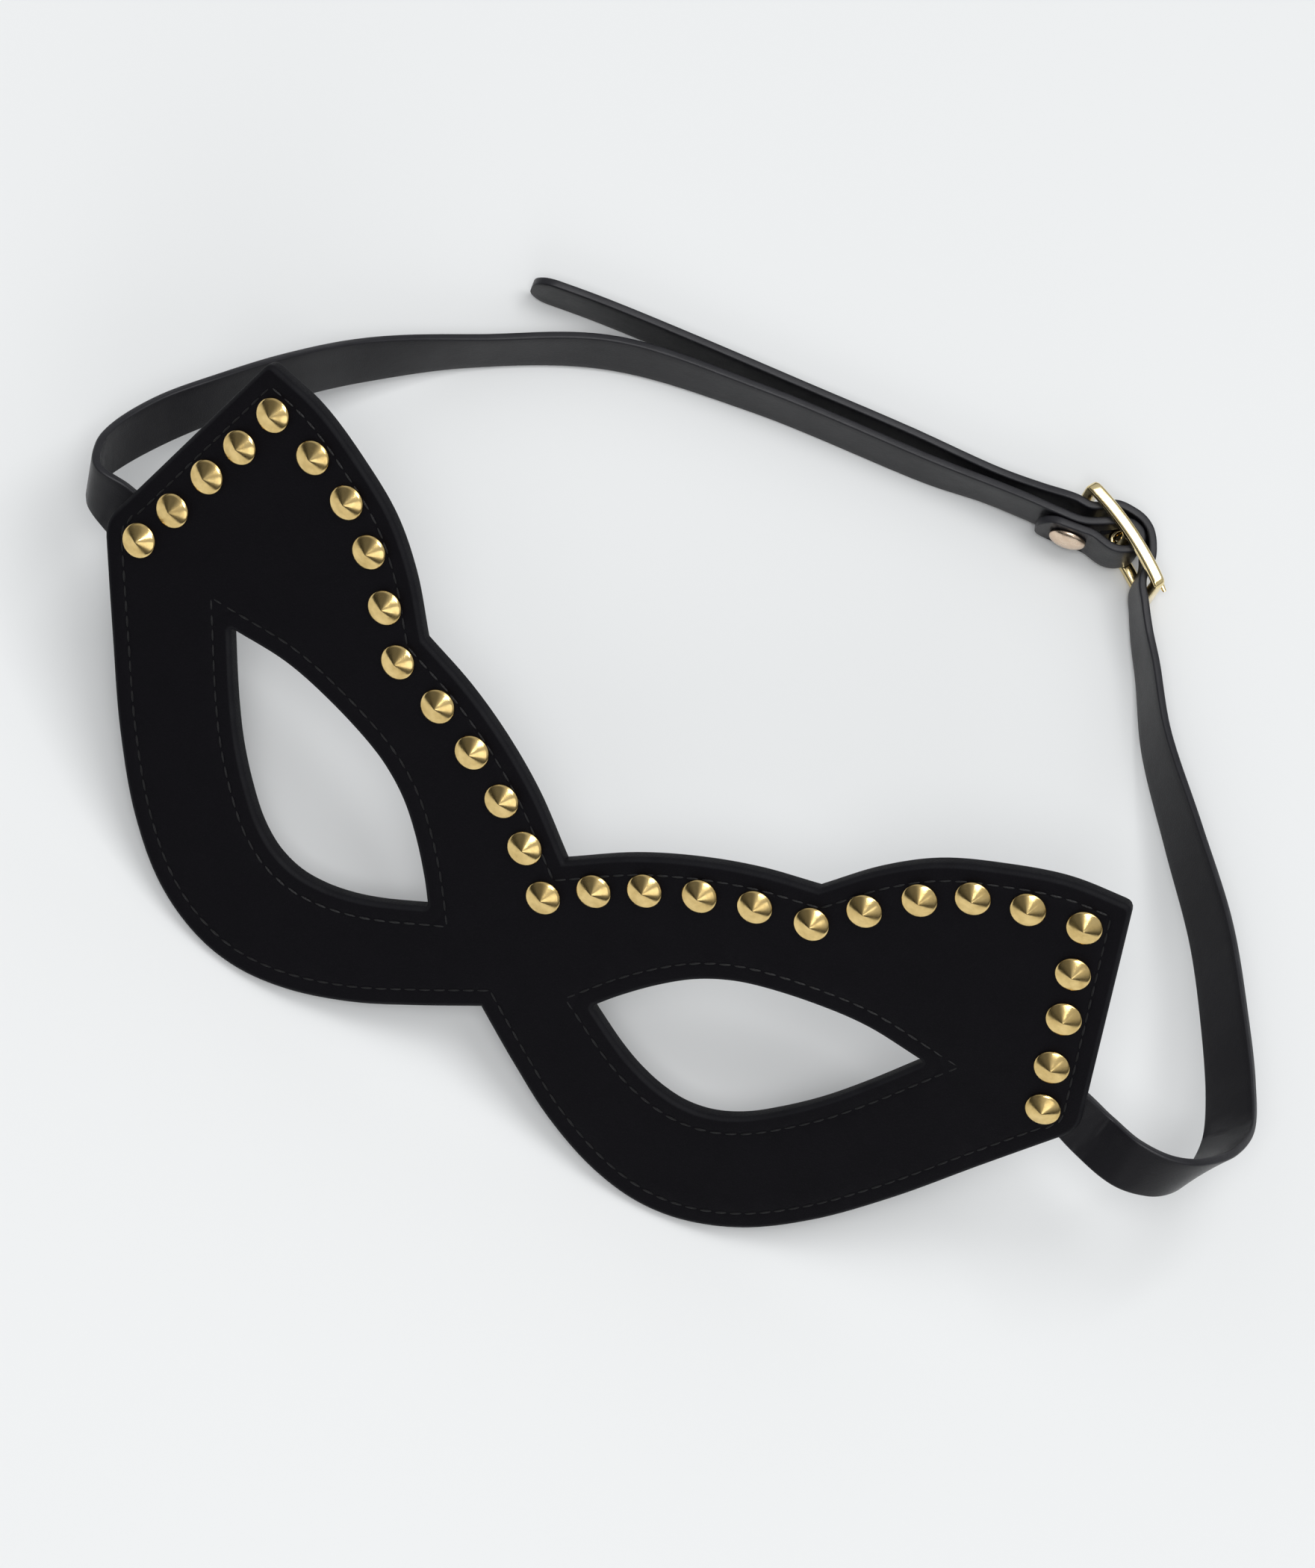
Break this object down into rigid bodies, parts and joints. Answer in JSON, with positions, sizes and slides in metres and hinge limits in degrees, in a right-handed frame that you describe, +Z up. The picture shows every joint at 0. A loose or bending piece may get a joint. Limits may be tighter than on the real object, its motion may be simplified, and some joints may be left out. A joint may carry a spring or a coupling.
{
  "type": "cat eye mask",
  "caption": "Stiff leather half mask shaped as a cat's face, edged with cone studs, closed behind the head with a narrow strap and a centre-bar buckle.",
  "frame": {"origin": "centre of the bounding box's footprint, on the surface the mask rests on", "axes": "+X along the mask's width, towards the viewer's right; +Z up; the strap loops behind the face towards +Y"},
  "size_m": [0.2376, 0.1628, 0.0782],
  "materials": {
    "mask_leather": "matte black, fine grain",
    "strap_left_leather": "satin black",
    "strap_right_leather": "satin black",
    "stud_brass": "antique brass plating, polished",
    "buckle_brass": "polished",
    "prong_brass": "polished",
    "rivet_brass": "satin, slightly pink"
  },
  "bodies": {
    "root": {"mask_face": "mask_leather", "strap_left": "strap_left_leather", "strap_right": "strap_right_leather", "buckle_frame": "buckle_brass", "buckle_prong": "prong_brass", "loop_rivet": "rivet_brass", "stud_01": "stud_brass", "stud_02": "stud_brass", "stud_03": "stud_brass", "stud_04": "stud_brass", "stud_05": "stud_brass", "stud_06": "stud_brass", "stud_07": "stud_brass", "stud_08": "stud_brass", "stud_09": "stud_brass", "stud_10": "stud_brass", "stud_11": "stud_brass", "stud_12": "stud_brass", "stud_13": "stud_brass", "stud_14": "stud_brass", "stud_15": "stud_brass", "stud_16": "stud_brass", "stud_17": "stud_brass", "stud_18": "stud_brass", "stud_19": "stud_brass", "stud_20": "stud_brass", "stud_21": "stud_brass", "stud_22": "stud_brass", "stud_23": "stud_brass", "stud_24": "stud_brass", "stud_25": "stud_brass", "stud_26": "stud_brass", "stud_27": "stud_brass", "stud_28": "stud_brass", "stud_29": "stud_brass"}
  },
  "joints": []
}
